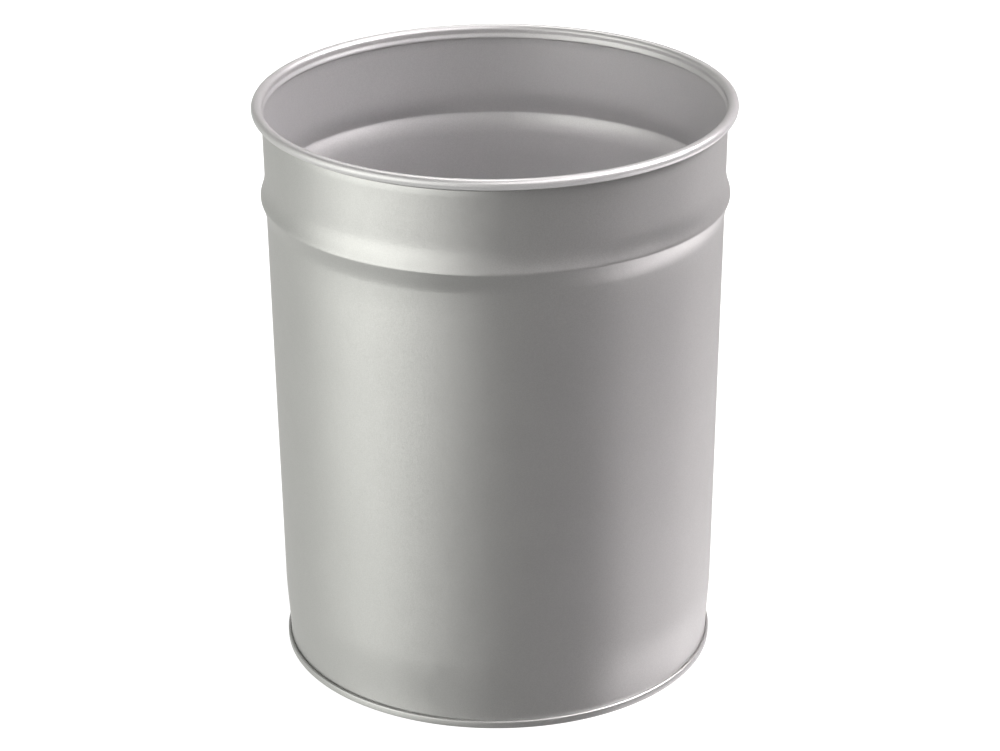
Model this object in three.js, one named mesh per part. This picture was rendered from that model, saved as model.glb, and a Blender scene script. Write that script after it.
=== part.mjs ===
// Open-topped round sheet-steel bin, about 15 litres.
// Millimetres, +Z up, origin at the centre of the ring that the bin stands on.
//
// The bin is two pieces of the same sheet. The body shell is one strip, rolled
// round and welded edge to edge, with its top edge curled outwards. The base pan
// is a pressed disc, whose edge is folded together with the body's lower edge in
// a double seam. Each piece is drawn as the middle line of its sheet, which is
// thickened to both sides and revolved about the bin's axis.

import * as THREE from 'three';

// Overall size
const RIM_RADIUS = 130;
const HEIGHT = 318;
const SHEET = 0.45;

// Body shell: a slightly tapered wall, measured on its outer face
const CURL_RADIUS = 2.9;
const CURL_END_DEG = -135;
const WALL_RADIUS_AT_CURL = RIM_RADIUS - 2 * CURL_RADIUS + SHEET;
const WALL_RADIUS_AT_FLOOR = 119.35;

// Swelling pressed outwards round the wall: hollow flanks that meet at a tight, rounded crest
const SWELL_CREST_Z = 265.9;
const SWELL_HEIGHT = 2.72;
const SWELL_ABOVE = 12.9;
const SWELL_BELOW = 12.3;
const SWELL_CREST_ROUND = 0.9;

// Small inward groove just under the curl: a slope down from the curl, then a sharper step out
const GROOVE_Z = 311.3;
const GROOVE_DEPTH = 0.8;
const GROOVE_ABOVE = 2.8;
const GROOVE_BELOW = 1;

// Double seam: five layers of sheet with a little air between them
const SEAM_RADIUS = 119.8;
const SEAM_HEIGHT = 4.3;
const LAYER_AIR = 0.1;
const LAYER_PITCH = SHEET + LAYER_AIR;
const NECK_START_Z = SEAM_HEIGHT + 0.6;
const NECK_TOP_Z = 40;
const SEAM_CORNER = 0.6;
const HOOK_TOP_Z = 3.2;
const HOOK_TIP_Z = 1.55;

// Base pan: a panel lifted clear of the floor, with one step that stiffens it
const PANEL_Z = 5.2;
const PANEL_CORNER = 1.5;
const STEP_RADIUS = 98;
const STEP_WIDTH = 5;
const STEP_HEIGHT = 1.6;

// Facets
const AROUND = 48;

// Radii of the sheet's middle line in the five layers of the seam
const SEAM_WALL_R = SEAM_RADIUS - SHEET / 2;
const BODY_HOOK_R = SEAM_WALL_R - LAYER_PITCH;
const BASE_HOOK_R = BODY_HOOK_R - LAYER_PITCH;
const BODY_WALL_R = BASE_HOOK_R - LAYER_PITCH;
const CHUCK_WALL_R = BODY_WALL_R - LAYER_PITCH;

const CURL_Z = HEIGHT - CURL_RADIUS;

const point = (radius, z) => new THREE.Vector2(radius, z);
const smooth = (t) => THREE.MathUtils.smoothstep(t, 0, 1);

// Points on an arc about (radius, z), both ends included
function arc(radius, z, bend, fromDeg, toDeg, steps) {
  const points = [];
  for (let i = 0; i <= steps; i += 1) {
    const angle = THREE.MathUtils.degToRad(THREE.MathUtils.lerp(fromDeg, toDeg, i / steps));
    points.push(point(radius + bend * Math.cos(angle), z + bend * Math.sin(angle)));
  }
  return points;
}

// Evenly spaced heights, both ends included
function heights(from, to, steps) {
  return Array.from({ length: steps + 1 }, (_, i) => THREE.MathUtils.lerp(from, to, i / steps));
}

// A copy of an open line, moved sideways by a constant distance (positive is to its right)
function offsetLine(line, distance) {
  const normals = line.slice(1).map((end, i) => {
    const along = end.clone().sub(line[i]).normalize();
    return point(along.y, -along.x);
  });
  return line.map((p, i) => {
    const before = normals[Math.max(i - 1, 0)];
    const after = normals[Math.min(i, normals.length - 1)];
    const mitre = before.clone().add(after).normalize();
    return p.clone().addScaledVector(mitre, distance / mitre.dot(after));
  });
}

// A sheet-metal ring or disc: its middle line thickened to both sides and revolved about Z
function revolvedSheet(middleLine) {
  const outline = [
    ...offsetLine(middleLine, SHEET / 2),
    ...offsetLine(middleLine, -SHEET / 2).reverse(),
  ];
  const startsOnAxis = middleLine[0].x === 0;
  if (!startsOnAxis) outline.push(outline[0].clone());
  return new THREE.LatheGeometry(outline, AROUND).rotateX(Math.PI / 2);
}

// Radius of the plain tapered wall's middle line
function taperRadius(z) {
  const outer = THREE.MathUtils.mapLinear(z, 0, CURL_Z, WALL_RADIUS_AT_FLOOR, WALL_RADIUS_AT_CURL);
  return outer - SHEET / 2;
}

// Radius of the whole wall's middle line, with its neck, swelling and groove
function wallRadius(z) {
  const neckDepth = taperRadius(NECK_START_Z) - BODY_WALL_R;
  const neck = neckDepth * smooth((NECK_TOP_Z - z) / (NECK_TOP_Z - NECK_START_Z));
  const swellReach = z > SWELL_CREST_Z ? SWELL_ABOVE : SWELL_BELOW;
  const fromCrest = Math.hypot(z - SWELL_CREST_Z, SWELL_CREST_ROUND) - SWELL_CREST_ROUND;
  const swell = SWELL_HEIGHT * Math.max(1 - fromCrest / swellReach, 0) ** 2;
  const grooveReach = z > GROOVE_Z ? GROOVE_ABOVE : GROOVE_BELOW;
  const groove = GROOVE_DEPTH * smooth(1 - Math.abs(z - GROOVE_Z) / grooveReach);
  return taperRadius(z) - neck + swell - groove;
}

function bodyShellLine() {
  const bendZ = SHEET + LAYER_AIR + LAYER_PITCH + SHEET / 2;
  const wallHeights = [
    ...heights(NECK_START_Z, NECK_TOP_Z, 4),
    ...heights(-1, 0, 5).map((t) => SWELL_CREST_Z - SWELL_BELOW * t * t),
    ...heights(0, 1, 5).slice(1).map((t) => SWELL_CREST_Z + SWELL_ABOVE * t * t),
    ...heights(GROOVE_Z - GROOVE_BELOW, GROOVE_Z, 3),
    ...heights(GROOVE_Z, GROOVE_Z + GROOVE_ABOVE, 3).slice(1),
  ];
  return [
    point(BODY_HOOK_R, HOOK_TOP_Z),
    ...arc(BASE_HOOK_R, bendZ, LAYER_PITCH, 0, -180, 4),
    ...wallHeights.map((z) => point(wallRadius(z), z)),
    ...arc(RIM_RADIUS - CURL_RADIUS, CURL_Z, CURL_RADIUS - SHEET / 2, 180, CURL_END_DEG, 14),
  ];
}

function basePanLine() {
  const floorZ = SHEET / 2;
  const foldZ = SEAM_HEIGHT - SHEET / 2 - LAYER_PITCH;
  const step = heights(0, 1, 3).map((t) =>
    point(STEP_RADIUS + STEP_WIDTH * t, PANEL_Z + STEP_HEIGHT * smooth(1 - t)));
  return [
    point(0, PANEL_Z + STEP_HEIGHT),
    ...step,
    ...arc(CHUCK_WALL_R - PANEL_CORNER, PANEL_Z - PANEL_CORNER, PANEL_CORNER, 90, 0, 3),
    ...arc(CHUCK_WALL_R + SEAM_CORNER, floorZ + SEAM_CORNER, SEAM_CORNER, 180, 270, 3),
    ...arc(SEAM_WALL_R - SEAM_CORNER, floorZ + SEAM_CORNER, SEAM_CORNER, -90, 0, 3),
    ...arc(BODY_HOOK_R, foldZ, LAYER_PITCH, 0, 180, 4),
    point(BASE_HOOK_R, HOOK_TIP_Z),
  ];
}

const lacquer = () => new THREE.MeshStandardMaterial({ color: 0xa9a9a7, roughness: 0.38, metalness: 0.75 });

const bodyShell = new THREE.Mesh(revolvedSheet(bodyShellLine()), lacquer());
bodyShell.name = 'body_shell';

const basePan = new THREE.Mesh(revolvedSheet(basePanLine()), lacquer());
basePan.name = 'base_pan';

const bin = new THREE.Group();
bin.add(bodyShell, basePan);

export default bin;
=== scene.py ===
"""Looks for the open-topped sheet-steel bin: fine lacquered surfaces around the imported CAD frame.

Metres, in the CAD frame: the bin stands on z = 0, its axis is Z, and the viewer is on the -Y side.
Both pieces are sheet metal. Each is drawn as the middle line of its sheet, thickened to both sides,
and revolved; what isn't round about the axis (the weld, the slight unevenness of a rolled wall) is
added to the revolved mesh.
"""

import math

import bpy
from mathutils import Matrix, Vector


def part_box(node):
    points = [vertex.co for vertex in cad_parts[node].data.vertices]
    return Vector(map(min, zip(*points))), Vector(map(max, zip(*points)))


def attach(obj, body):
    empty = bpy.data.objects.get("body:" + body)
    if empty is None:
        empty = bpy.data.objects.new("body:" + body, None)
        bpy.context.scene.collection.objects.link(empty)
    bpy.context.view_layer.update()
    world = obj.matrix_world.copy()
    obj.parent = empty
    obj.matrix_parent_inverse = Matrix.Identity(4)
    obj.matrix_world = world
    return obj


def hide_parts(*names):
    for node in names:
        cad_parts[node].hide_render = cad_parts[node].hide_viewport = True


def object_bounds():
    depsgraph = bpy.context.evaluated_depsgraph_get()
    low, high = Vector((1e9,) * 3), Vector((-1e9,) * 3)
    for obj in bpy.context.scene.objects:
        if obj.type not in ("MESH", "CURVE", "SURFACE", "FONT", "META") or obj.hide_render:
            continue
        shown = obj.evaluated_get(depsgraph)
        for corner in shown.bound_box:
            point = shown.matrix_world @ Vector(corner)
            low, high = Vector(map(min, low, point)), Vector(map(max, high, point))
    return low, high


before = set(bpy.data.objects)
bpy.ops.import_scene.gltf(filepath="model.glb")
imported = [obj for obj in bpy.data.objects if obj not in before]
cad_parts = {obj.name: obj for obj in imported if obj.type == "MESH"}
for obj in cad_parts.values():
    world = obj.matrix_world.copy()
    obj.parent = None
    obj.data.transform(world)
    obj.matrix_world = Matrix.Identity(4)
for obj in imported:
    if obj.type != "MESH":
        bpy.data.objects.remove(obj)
CAD_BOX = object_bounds()
MM = 0.001

# ---------------------------------------------------------------- sizes

RIM_RADIUS = round(CAD_BOX[1].x, 4)
HEIGHT = round(CAD_BOX[1].z, 4)
SHEET = 0.45 * MM

CURL_RADIUS = 2.9 * MM
CURL_END_DEG = -135
CURL_Z = HEIGHT - CURL_RADIUS
WALL_RADIUS_AT_CURL = RIM_RADIUS - 2 * CURL_RADIUS + SHEET
WALL_RADIUS_AT_FLOOR = 119.35 * MM

SWELL_CREST_Z = 265.9 * MM
SWELL_HEIGHT = 2.72 * MM
SWELL_ABOVE = 12.9 * MM
SWELL_BELOW = 12.3 * MM
SWELL_CREST_ROUND = 0.9 * MM

GROOVE_Z = 311.3 * MM
GROOVE_DEPTH = 0.8 * MM
GROOVE_ABOVE = 2.8 * MM
GROOVE_BELOW = 1 * MM

SEAM_RADIUS = round(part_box("base_pan")[1].x, 4)
SEAM_HEIGHT = 4.3 * MM
LAYER_AIR = 0.1 * MM
LAYER_PITCH = SHEET + LAYER_AIR
NECK_START_Z = SEAM_HEIGHT + 0.6 * MM
NECK_TOP_Z = 40 * MM
SEAM_CORNER = 0.6 * MM
HOOK_TOP_Z = 3.2 * MM
HOOK_TIP_Z = 1.55 * MM

PANEL_Z = 5.2 * MM
PANEL_CORNER = 1.5 * MM
STEP_RADIUS = 98 * MM
STEP_WIDTH = 5 * MM
STEP_HEIGHT = 1.6 * MM

SEAM_WALL_R = SEAM_RADIUS - SHEET / 2
BODY_HOOK_R = SEAM_WALL_R - LAYER_PITCH
BASE_HOOK_R = BODY_HOOK_R - LAYER_PITCH
BODY_WALL_R = BASE_HOOK_R - LAYER_PITCH
CHUCK_WALL_R = BODY_WALL_R - LAYER_PITCH

AROUND = 288


# ---------------------------------------------------------------- sheet-metal meshes


def smooth(t):
    """0 to 1 with level ends."""
    t = min(max(t, 0.0), 1.0)
    return t * t * (3 - 2 * t)


def spread(start, end, steps):
    return [start + (end - start) * i / steps for i in range(steps + 1)]


def arc(radius, z, bend, start_deg, end_deg, steps):
    """Points (radius, z) on an arc, both ends included."""
    angles = [math.radians(a) for a in spread(start_deg, end_deg, steps)]
    return [(radius + bend * math.cos(a), z + bend * math.sin(a)) for a in angles]


def offset_line(line, distance):
    """A copy of an open line of (radius, z) points, moved to its right by distance."""
    normals = []
    for (r0, z0), (r1, z1) in zip(line, line[1:]):
        length = math.hypot(r1 - r0, z1 - z0)
        normals.append(((z1 - z0) / length, -(r1 - r0) / length))
    moved = []
    for i, (r, z) in enumerate(line):
        before = normals[max(i - 1, 0)]
        after = normals[min(i, len(normals) - 1)]
        nr, nz = before[0] + after[0], before[1] + after[1]
        size = math.hypot(nr, nz)
        reach = distance * size / (nr * after[0] + nz * after[1])
        moved.append((r + nr / size * reach, z + nz / size * reach))
    return moved


def turn(centre=0.0, fine=0.0, half_width=0.0):
    """Angles for one turn about Z, with finer steps within half_width of centre."""
    angles = [2 * math.pi * i / AROUND for i in range(AROUND)]
    if fine:
        angles = [a for a in angles if abs(a - centre) > half_width]
        angles += spread(centre - half_width, centre + half_width, round(2 * half_width / fine))
    return sorted(angles)


def revolve(name, outline, inner_steps, angles, shift=None):
    """A closed outline of (radius, z) points turned about Z into a smooth-shaded mesh object.

    The faces of the outline's inner_steps get the second material. shift(angle, radius, z) gives
    a radial move for each point; points on the axis are shared.
    """
    count = len(angles)
    verts, rings = [], []
    for r, z in outline:
        if r < 1e-9:
            rings.append([len(verts)] * count)
            verts.append((0.0, 0.0, z))
            continue
        ring = []
        for a in angles:
            moved = r + (shift(a, r, z) if shift else 0.0)
            ring.append(len(verts))
            verts.append((moved * math.sin(a), -moved * math.cos(a), z))
        rings.append(ring)
    faces, slots = [], []
    for step, (low, high) in enumerate(zip(rings, rings[1:] + rings[:1])):
        if low[0] == low[1] and high[0] == high[1]:
            continue
        slots += [int(step in inner_steps)] * count
        for i in range(count):
            j = (i + 1) % count
            corners = [low[i], low[j], high[j], high[i]]
            faces.append([c for k, c in enumerate(corners) if c != corners[k - 1]])
    mesh = bpy.data.meshes.new(name)
    mesh.from_pydata(verts, [], faces)
    mesh.polygons.foreach_set("material_index", slots)
    mesh.validate()
    mesh.shade_smooth()
    piece = bpy.data.objects.new(name, mesh)
    bpy.context.scene.collection.objects.link(piece)
    return piece


def drawn_back(tip, before):
    """The line's tip moved back by half the sheet, to leave room for its round edge."""
    length = math.dist(tip, before)
    t = SHEET / 2 / length
    return (tip[0] + (before[0] - tip[0]) * t, tip[1] + (before[1] - tip[1]) * t)


def round_edge(tip, before, steps=4):
    """Points round the end of the sheet, from its right side to its left side."""
    length = math.dist(tip, before)
    ar, az = (tip[0] - before[0]) / length, (tip[1] - before[1]) / length
    angles = [math.pi * i / steps for i in range(1, steps)]
    return [
        (
            tip[0] + (az * math.cos(t) + ar * math.sin(t)) * SHEET / 2,
            tip[1] + (-ar * math.cos(t) + az * math.sin(t)) * SHEET / 2,
        )
        for t in angles
    ]


def sheet_outline(middle_line):
    """The closed outline of a sheet of even thickness, and which of its steps are on its left.

    An end that isn't on the axis is round.
    """
    line = list(middle_line)
    line[-1] = drawn_back(line[-1], line[-2])
    starts_on_axis = line[0][0] == 0
    if not starts_on_axis:
        line[0] = drawn_back(line[0], line[1])
    right = offset_line(line, SHEET / 2)
    left = offset_line(line, -SHEET / 2)
    outline = right + round_edge(line[-1], line[-2])
    left_steps = range(len(outline), len(outline) + len(left) - 1)
    outline += left[::-1]
    if not starts_on_axis:
        outline += round_edge(line[0], line[1])
    return outline, left_steps


# ---------------------------------------------------------------- body shell

# Angles run anticlockwise from above, from the -Y side
WELD_ANGLE = math.radians(97)
WELD_HALF_WIDTH = 1.5 * MM
WELD_HEIGHT = 0.12 * MM
WAVE_HEIGHT = 0.05 * MM
HELD_BY_SEAM = 60 * MM
HELD_BY_CURL = 40 * MM


def taper_radius(z):
    t = z / CURL_Z
    outer = WALL_RADIUS_AT_FLOOR + (WALL_RADIUS_AT_CURL - WALL_RADIUS_AT_FLOOR) * t
    return outer - SHEET / 2


def wall_radius(z):
    """Middle line of the wall, with its neck, swelling and groove."""
    neck_depth = taper_radius(NECK_START_Z) - BODY_WALL_R
    neck = neck_depth * smooth((NECK_TOP_Z - z) / (NECK_TOP_Z - NECK_START_Z))
    swell_reach = SWELL_ABOVE if z > SWELL_CREST_Z else SWELL_BELOW
    from_crest = math.hypot(z - SWELL_CREST_Z, SWELL_CREST_ROUND) - SWELL_CREST_ROUND
    swell = SWELL_HEIGHT * max(1 - from_crest / swell_reach, 0) ** 2
    groove_reach = GROOVE_ABOVE if z > GROOVE_Z else GROOVE_BELOW
    groove = GROOVE_DEPTH * smooth(1 - abs(z - GROOVE_Z) / groove_reach)
    return taper_radius(z) - neck + swell - groove


def body_line():
    bend_z = SHEET + LAYER_AIR + LAYER_PITCH + SHEET / 2
    swell_low, swell_high = SWELL_CREST_Z - SWELL_BELOW, SWELL_CREST_Z + SWELL_ABOVE
    groove_low, groove_high = GROOVE_Z - GROOVE_BELOW, GROOVE_Z + GROOVE_ABOVE
    heights = spread(NECK_START_Z, NECK_TOP_Z, 14)
    heights += spread(NECK_TOP_Z, swell_low, 16)[1:]
    heights += [SWELL_CREST_Z - SWELL_BELOW * t * t for t in spread(-1, 0, 16)[1:]]
    heights += [SWELL_CREST_Z + SWELL_ABOVE * t * t for t in spread(0, 1, 16)[1:]]
    heights += spread(swell_high, groove_low, 8)[1:]
    heights += spread(groove_low, GROOVE_Z, 8)[1:]
    heights += spread(GROOVE_Z, groove_high, 12)[1:]
    line = [(BODY_HOOK_R, HOOK_TOP_Z)]
    line += arc(BASE_HOOK_R, bend_z, LAYER_PITCH, 0, -180, 10)
    line += [(wall_radius(z), z) for z in heights]
    line += arc(RIM_RADIUS - CURL_RADIUS, CURL_Z, CURL_RADIUS - SHEET / 2, 180, CURL_END_DEG, 42)
    return line


def uneven(angle, radius, z):
    """The weld's low ridge, and the few hundredths that a rolled wall is out of true.

    Near the seam and the curl the wall is held round.
    """
    away = (angle - WELD_ANGLE + math.pi) % (2 * math.pi) - math.pi
    ridge = smooth(1 - abs(away) * radius / WELD_HALF_WIDTH)
    free = smooth((z - SEAM_HEIGHT) / HELD_BY_SEAM) * smooth((HEIGHT - z) / HELD_BY_CURL)
    wave = math.sin(2 * angle + 0.7) + 0.6 * math.sin(3 * angle + 9 * z / HEIGHT + 1.9)
    outer_face = 1 if radius > wall_radius(min(max(z, NECK_START_Z), CURL_Z)) else -1
    on_wall = 1.0 if z > SEAM_HEIGHT else 0.0
    return outer_face * WELD_HEIGHT * ridge * on_wall + WAVE_HEIGHT * wave * free


def make_body():
    reach = 2 * WELD_HALF_WIDTH / WALL_RADIUS_AT_FLOOR
    angles = turn(WELD_ANGLE, fine=reach / 16, half_width=reach)
    piece = revolve("lacquered_body", *sheet_outline(body_line()), angles, uneven)
    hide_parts("body_shell")
    return piece


# ---------------------------------------------------------------- base pan


def base_line():
    floor_z = SHEET / 2
    fold_z = SEAM_HEIGHT - SHEET / 2 - LAYER_PITCH
    line = [(0.0, PANEL_Z + STEP_HEIGHT)]
    line += [(STEP_RADIUS * t, PANEL_Z + STEP_HEIGHT) for t in (0.25, 0.5, 0.75, 0.97)]
    line += [
        (STEP_RADIUS + STEP_WIDTH * t, PANEL_Z + STEP_HEIGHT * smooth(1 - t))
        for t in spread(0, 1, 12)
    ]
    line += arc(CHUCK_WALL_R - PANEL_CORNER, PANEL_Z - PANEL_CORNER, PANEL_CORNER, 90, 0, 8)
    line += arc(CHUCK_WALL_R + SEAM_CORNER, floor_z + SEAM_CORNER, SEAM_CORNER, 180, 270, 6)
    line += arc(SEAM_WALL_R - SEAM_CORNER, floor_z + SEAM_CORNER, SEAM_CORNER, -90, 0, 6)
    line += arc(BODY_HOOK_R, fold_z, LAYER_PITCH, 0, 180, 12)
    line += [(BASE_HOOK_R, HOOK_TIP_Z)]
    return line


def make_base():
    piece = revolve("lacquered_base", *sheet_outline(base_line()), turn())
    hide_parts("base_pan")
    return piece


# ---------------------------------------------------------------- shader nodes


def plug(tree, socket, value):
    """Links a socket to another one, or sets it to a plain value."""
    if isinstance(value, bpy.types.NodeSocket):
        tree.links.new(value, socket)
    else:
        socket.default_value = value


def math_node(tree, operation, *values):
    made = tree.nodes.new("ShaderNodeMath")
    made.operation = operation
    for socket, value in zip(made.inputs, values):
        plug(tree, socket, value)
    return made.outputs[0]


def ramp(tree, value, start, end, low=0.0, high=1.0):
    """low to high, with level ends, as value goes from start to end."""
    made = tree.nodes.new("ShaderNodeMapRange")
    made.interpolation_type = "SMOOTHSTEP"
    for name, given in (
        ("Value", value),
        ("From Min", start),
        ("From Max", end),
        ("To Min", low),
        ("To Max", high),
    ):
        plug(tree, made.inputs[name], given)
    return made.outputs["Result"]


def noise(tree, place, size, detail):
    """Soft noise between 0 and 1, whose patches are about size metres across."""
    made = tree.nodes.new("ShaderNodeTexNoise")
    plug(tree, made.inputs["Vector"], place)
    made.inputs["Scale"].default_value = 1 / size
    made.inputs["Detail"].default_value = detail
    return made.outputs["Fac"]


# ---------------------------------------------------------------- material

OUTER_TONES = (0.555, 0.555, 0.55, 1), (0.645, 0.645, 0.64, 1)
# Painted light: the inside tones and metal make a lighter, less metallic copy of the outside
# lacquer, standing in for the extra light inside the bin
INNER_TONES_PAINTED_LIGHT = (0.66, 0.655, 0.66, 1), (0.74, 0.735, 0.74, 1)
OUTER_METAL = 0.85
INNER_METAL = 0.6
FLAKE_SIZE = 0.35 * MM
FLAKE_TILT = 0.07
PEEL_SIZE = 1.7 * MM
PEEL_HEIGHT = 0.004 * MM
CLOUD_SIZE = 45 * MM
FLAKE_SHARE, CLOUD_SHARE = 0.6, 0.4
SMUDGE_SIZE = 14 * MM
SMUDGE_ROUGHNESS = 0.36, 0.4
COAT_WEIGHT = 0.25
COAT_ROUGHNESS = 0.15


def silver_lacquer(name, tones, metal):
    """Silver metallic lacquer: fine metal flake under a satin skin, with a soft orange peel."""
    material = bpy.data.materials.new(name)
    material.use_nodes = True
    tree = material.node_tree
    shader = tree.nodes["Principled BSDF"]
    place = tree.nodes.new("ShaderNodeTexCoord").outputs["Object"]

    flakes = tree.nodes.new("ShaderNodeTexVoronoi")
    flakes.inputs["Scale"].default_value = 1 / FLAKE_SIZE
    plug(tree, flakes.inputs["Vector"], place)
    parts = tree.nodes.new("ShaderNodeSeparateColor")
    plug(tree, parts.inputs["Color"], flakes.outputs["Color"])
    flake = parts.outputs["Red"]

    clouds = noise(tree, place, CLOUD_SIZE, 2)
    cloud_tone = math_node(tree, "MULTIPLY", clouds, CLOUD_SHARE)
    tone = math_node(tree, "MULTIPLY_ADD", flake, FLAKE_SHARE, cloud_tone)
    color = tree.nodes.new("ShaderNodeMix")
    color.data_type = "RGBA"
    plug(tree, color.inputs["Factor"], tone)
    color.inputs["A"].default_value, color.inputs["B"].default_value = tones
    plug(tree, shader.inputs["Base Color"], color.outputs["Result"])

    smudges = noise(tree, place, SMUDGE_SIZE, 3)
    plug(tree, shader.inputs["Roughness"], ramp(tree, smudges, 0.3, 0.7, *SMUDGE_ROUGHNESS))

    peel = tree.nodes.new("ShaderNodeBump")
    peel.inputs["Strength"].default_value = 1
    peel.inputs["Distance"].default_value = PEEL_HEIGHT
    plug(tree, peel.inputs["Height"], noise(tree, place, PEEL_SIZE, 1))
    centred = tree.nodes.new("ShaderNodeVectorMath")
    centred.operation = "SUBTRACT"
    plug(tree, centred.inputs[0], flakes.outputs["Color"])
    centred.inputs[1].default_value = (0.5, 0.5, 0.5)
    tilted = tree.nodes.new("ShaderNodeVectorMath")
    tilted.operation = "MULTIPLY_ADD"
    plug(tree, tilted.inputs[0], centred.outputs["Vector"])
    tilted.inputs[1].default_value = (FLAKE_TILT,) * 3
    plug(tree, tilted.inputs[2], peel.outputs["Normal"])
    level = tree.nodes.new("ShaderNodeVectorMath")
    level.operation = "NORMALIZE"
    plug(tree, level.inputs[0], tilted.outputs["Vector"])
    plug(tree, shader.inputs["Normal"], level.outputs["Vector"])

    shader.inputs["Metallic"].default_value = metal
    shader.inputs["Coat Weight"].default_value = COAT_WEIGHT
    shader.inputs["Coat Roughness"].default_value = COAT_ROUGHNESS
    return material


# ---------------------------------------------------------------- stage, camera, lights

# Where the picture was taken from: an ordinary eye-level view down at a bin on a table
CAMERA_DISTANCE = 1.633
CAMERA_HEIGHT = 0.8755
CAMERA_PITCH_DEG = 23.797
CAMERA_YAW_DEG = 0.064
CAMERA_ROLL_DEG = 0.359
CAMERA_LENS = 116.06


def make_camera():
    data = bpy.data.cameras.new("camera")
    data.lens = CAMERA_LENS
    data.sensor_width = 36
    data.clip_start, data.clip_end = 0.05, 60
    camera = bpy.data.objects.new("camera", data)
    bpy.context.scene.collection.objects.link(camera)
    place = Matrix.Translation((0, -CAMERA_DISTANCE, CAMERA_HEIGHT))
    yaw = Matrix.Rotation(math.radians(-CAMERA_YAW_DEG), 4, "Z")
    pitch = Matrix.Rotation(math.radians(90 - CAMERA_PITCH_DEG), 4, "X")
    roll = Matrix.Rotation(math.radians(-CAMERA_ROLL_DEG), 4, "Z")
    camera.matrix_world = place @ yaw @ pitch @ roll
    bpy.context.scene.camera = camera


TABLE_HALF_SIZE = 12
TABLE_GREY = 0.2
TABLE_GLOW = 0.98


def make_floor():
    """A white light table. The lacquer mirrors the tent's lower half instead of it."""
    material = bpy.data.materials.new("light_table")
    material.use_nodes = True
    material.cycles.emission_sampling = "NONE"
    shader = material.node_tree.nodes["Principled BSDF"]
    shader.inputs["Base Color"].default_value = (TABLE_GREY, TABLE_GREY, TABLE_GREY, 1)
    shader.inputs["Roughness"].default_value = 0.9
    shader.inputs["Emission Color"].default_value = (1, 1, 1, 1)
    shader.inputs["Emission Strength"].default_value = TABLE_GLOW
    half = TABLE_HALF_SIZE
    mesh = bpy.data.meshes.new("floor")
    corners = [(-half, -half, 0), (half, -half, 0), (half, half, 0), (-half, half, 0)]
    mesh.from_pydata(corners, [], [(0, 1, 2, 3)])
    floor = bpy.data.objects.new("floor", mesh)
    bpy.context.scene.collection.objects.link(floor)
    mesh.materials.append(material)
    floor.visible_glossy = False


# A white tent round the bin, darker where it opens in front, with soft lights in it. Directions are
# in degrees: round from the -Y side towards +X, and up from the floor. A light's "round" and "up"
# are its middle, its half size and half the width of its soft edge.
TENT_LOW, TENT_HIGH = 0.6, 0.05
TENT_LOW_AT, TENT_HIGH_AT = -30, 60
TENT_LEFT_COLOR, TENT_RIGHT_COLOR = (0.99, 1, 0.945, 1), (1, 0.95, 0.965, 1)
OPENING = {"round": 28, "half_width": 80, "edge": 28, "top": 40, "top_edge": 45, "depth": 0.76}
CARDS = {
    "left": {"round": (-55, 34, 24), "up": (5, 29, 8), "strength": 1.5},
    "front_high": {"round": (30, 37, 14), "up": (50, 12, 14), "strength": 3},
    "right_high": {"round": (94, 22, 14), "up": (43, 14, 14), "strength": 12},
    "right_low": {"round": (128, 60, 14), "up": (-41, 8, 14), "strength": 1.5},
    "back": {"round": (185, 30, 14), "up": (64, 18, 14), "strength": 2.8},
}
BACKDROP = 1.2


def away_from(tree, across, along, azimuth):
    """Degrees between a level direction (unit across and along) and an azimuth."""
    a = math.radians(azimuth)
    cosine = math_node(
        tree,
        "ADD",
        math_node(tree, "MULTIPLY", across, math.sin(a)),
        math_node(tree, "MULTIPLY", along, -math.cos(a)),
    )
    return math_node(tree, "DEGREES", math_node(tree, "ARCCOSINE", cosine))


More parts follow.
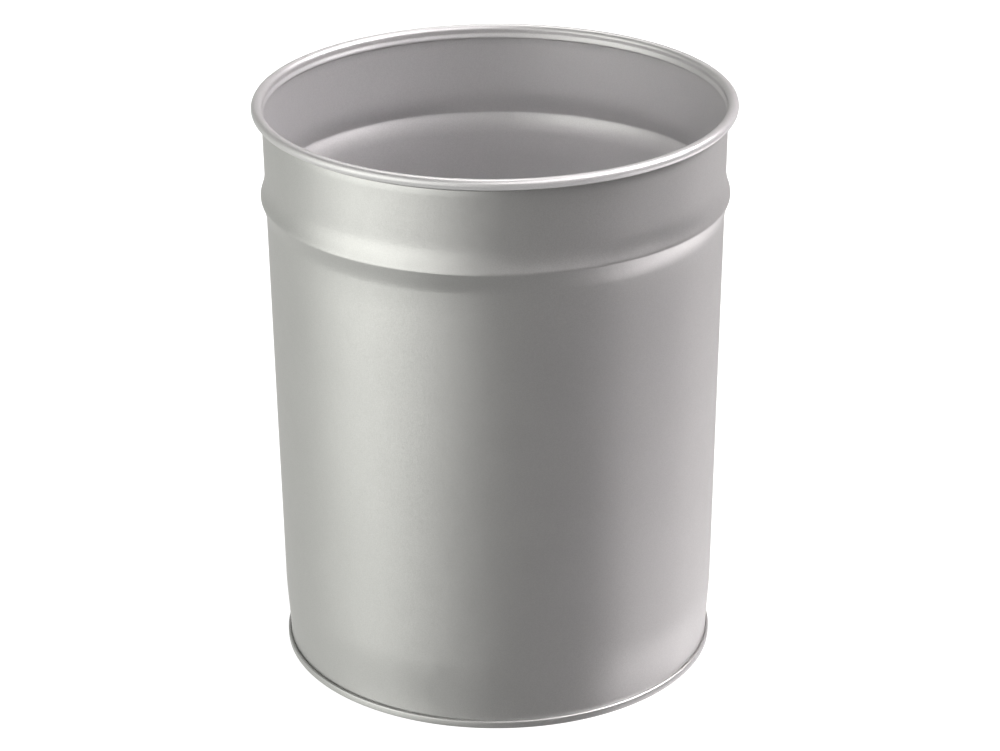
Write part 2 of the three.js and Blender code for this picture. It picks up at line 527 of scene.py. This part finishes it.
def make_tent():
    world = bpy.data.worlds.new("tent")
    world.use_nodes = True
    world.cycles.sampling_method = "NONE"
    tree = world.node_tree
    direction = tree.nodes.new("ShaderNodeTexCoord").outputs["Generated"]
    parts = tree.nodes.new("ShaderNodeSeparateXYZ")
    plug(tree, parts.inputs[0], direction)
    x, y, z = parts.outputs
    up = math_node(tree, "DEGREES", math_node(tree, "ARCSINE", z))
    x_squared = math_node(tree, "MULTIPLY", x, x)
    y_squared = math_node(tree, "MULTIPLY", y, y)
    level = math_node(tree, "SQRT", math_node(tree, "ADD", x_squared, y_squared))
    across = math_node(tree, "DIVIDE", x, level)
    along = math_node(tree, "DIVIDE", y, level)

    tent = ramp(tree, up, TENT_LOW_AT, TENT_HIGH_AT, TENT_LOW, TENT_HIGH)
    off = away_from(tree, across, along, OPENING["round"])
    inner, outer = OPENING["half_width"] - OPENING["edge"], OPENING["half_width"] + OPENING["edge"]
    opening = math_node(
        tree,
        "MULTIPLY",
        ramp(tree, off, outer, inner),
        ramp(tree, up, OPENING["top"] + OPENING["top_edge"], OPENING["top"] - OPENING["top_edge"]),
    )
    left_over = ramp(tree, opening, 0, 1, 1, 1 - OPENING["depth"])
    light = math_node(tree, "MULTIPLY", tent, left_over)
    for card in CARDS.values():
        azimuth, half_width, side_edge = card["round"]
        middle, half_height, top_edge = card["up"]
        off = away_from(tree, across, along, azimuth)
        off_up = math_node(tree, "ABSOLUTE", math_node(tree, "SUBTRACT", up, middle))
        wide = ramp(tree, off, half_width + side_edge, half_width - side_edge)
        high = ramp(tree, off_up, half_height + top_edge, half_height - top_edge)
        shape = math_node(tree, "MULTIPLY", wide, high)
        light = math_node(tree, "ADD", light, math_node(tree, "MULTIPLY", shape, card["strength"]))

    seen = tree.nodes.new("ShaderNodeLightPath").outputs["Is Camera Ray"]
    backdrop = tree.nodes.new("ShaderNodeMix")
    plug(tree, backdrop.inputs["Factor"], seen)
    plug(tree, backdrop.inputs["A"], light)
    plug(tree, backdrop.inputs["B"], BACKDROP)
    plug(tree, tree.nodes["Background"].inputs["Strength"], backdrop.outputs["Result"])
    tint = tree.nodes.new("ShaderNodeMix")
    tint.data_type = "RGBA"
    plug(tree, tint.inputs["Factor"], ramp(tree, across, -1, 1))
    tint.inputs["A"].default_value = TENT_LEFT_COLOR
    tint.inputs["B"].default_value = TENT_RIGHT_COLOR
    plug(tree, tree.nodes["Background"].inputs["Color"], tint.outputs["Result"])
    bpy.context.scene.world = world


make_camera()
body = make_body()
base = make_base()
outer_lacquer = silver_lacquer("silver_lacquer", OUTER_TONES, OUTER_METAL)
# The inside coat is painted light: the same lacquer made lighter and less metallic to stand in for
# the light inside the bin
inner_lacquer_painted_light = silver_lacquer("silver_lacquer_inside_painted_light", INNER_TONES_PAINTED_LIGHT, INNER_METAL)
for piece in (body, base):
    piece.data.materials.append(outer_lacquer)
    piece.data.materials.append(inner_lacquer_painted_light)
    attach(piece, "root")
make_floor()
make_tent()
bpy.context.scene.view_settings.view_transform = "Standard"
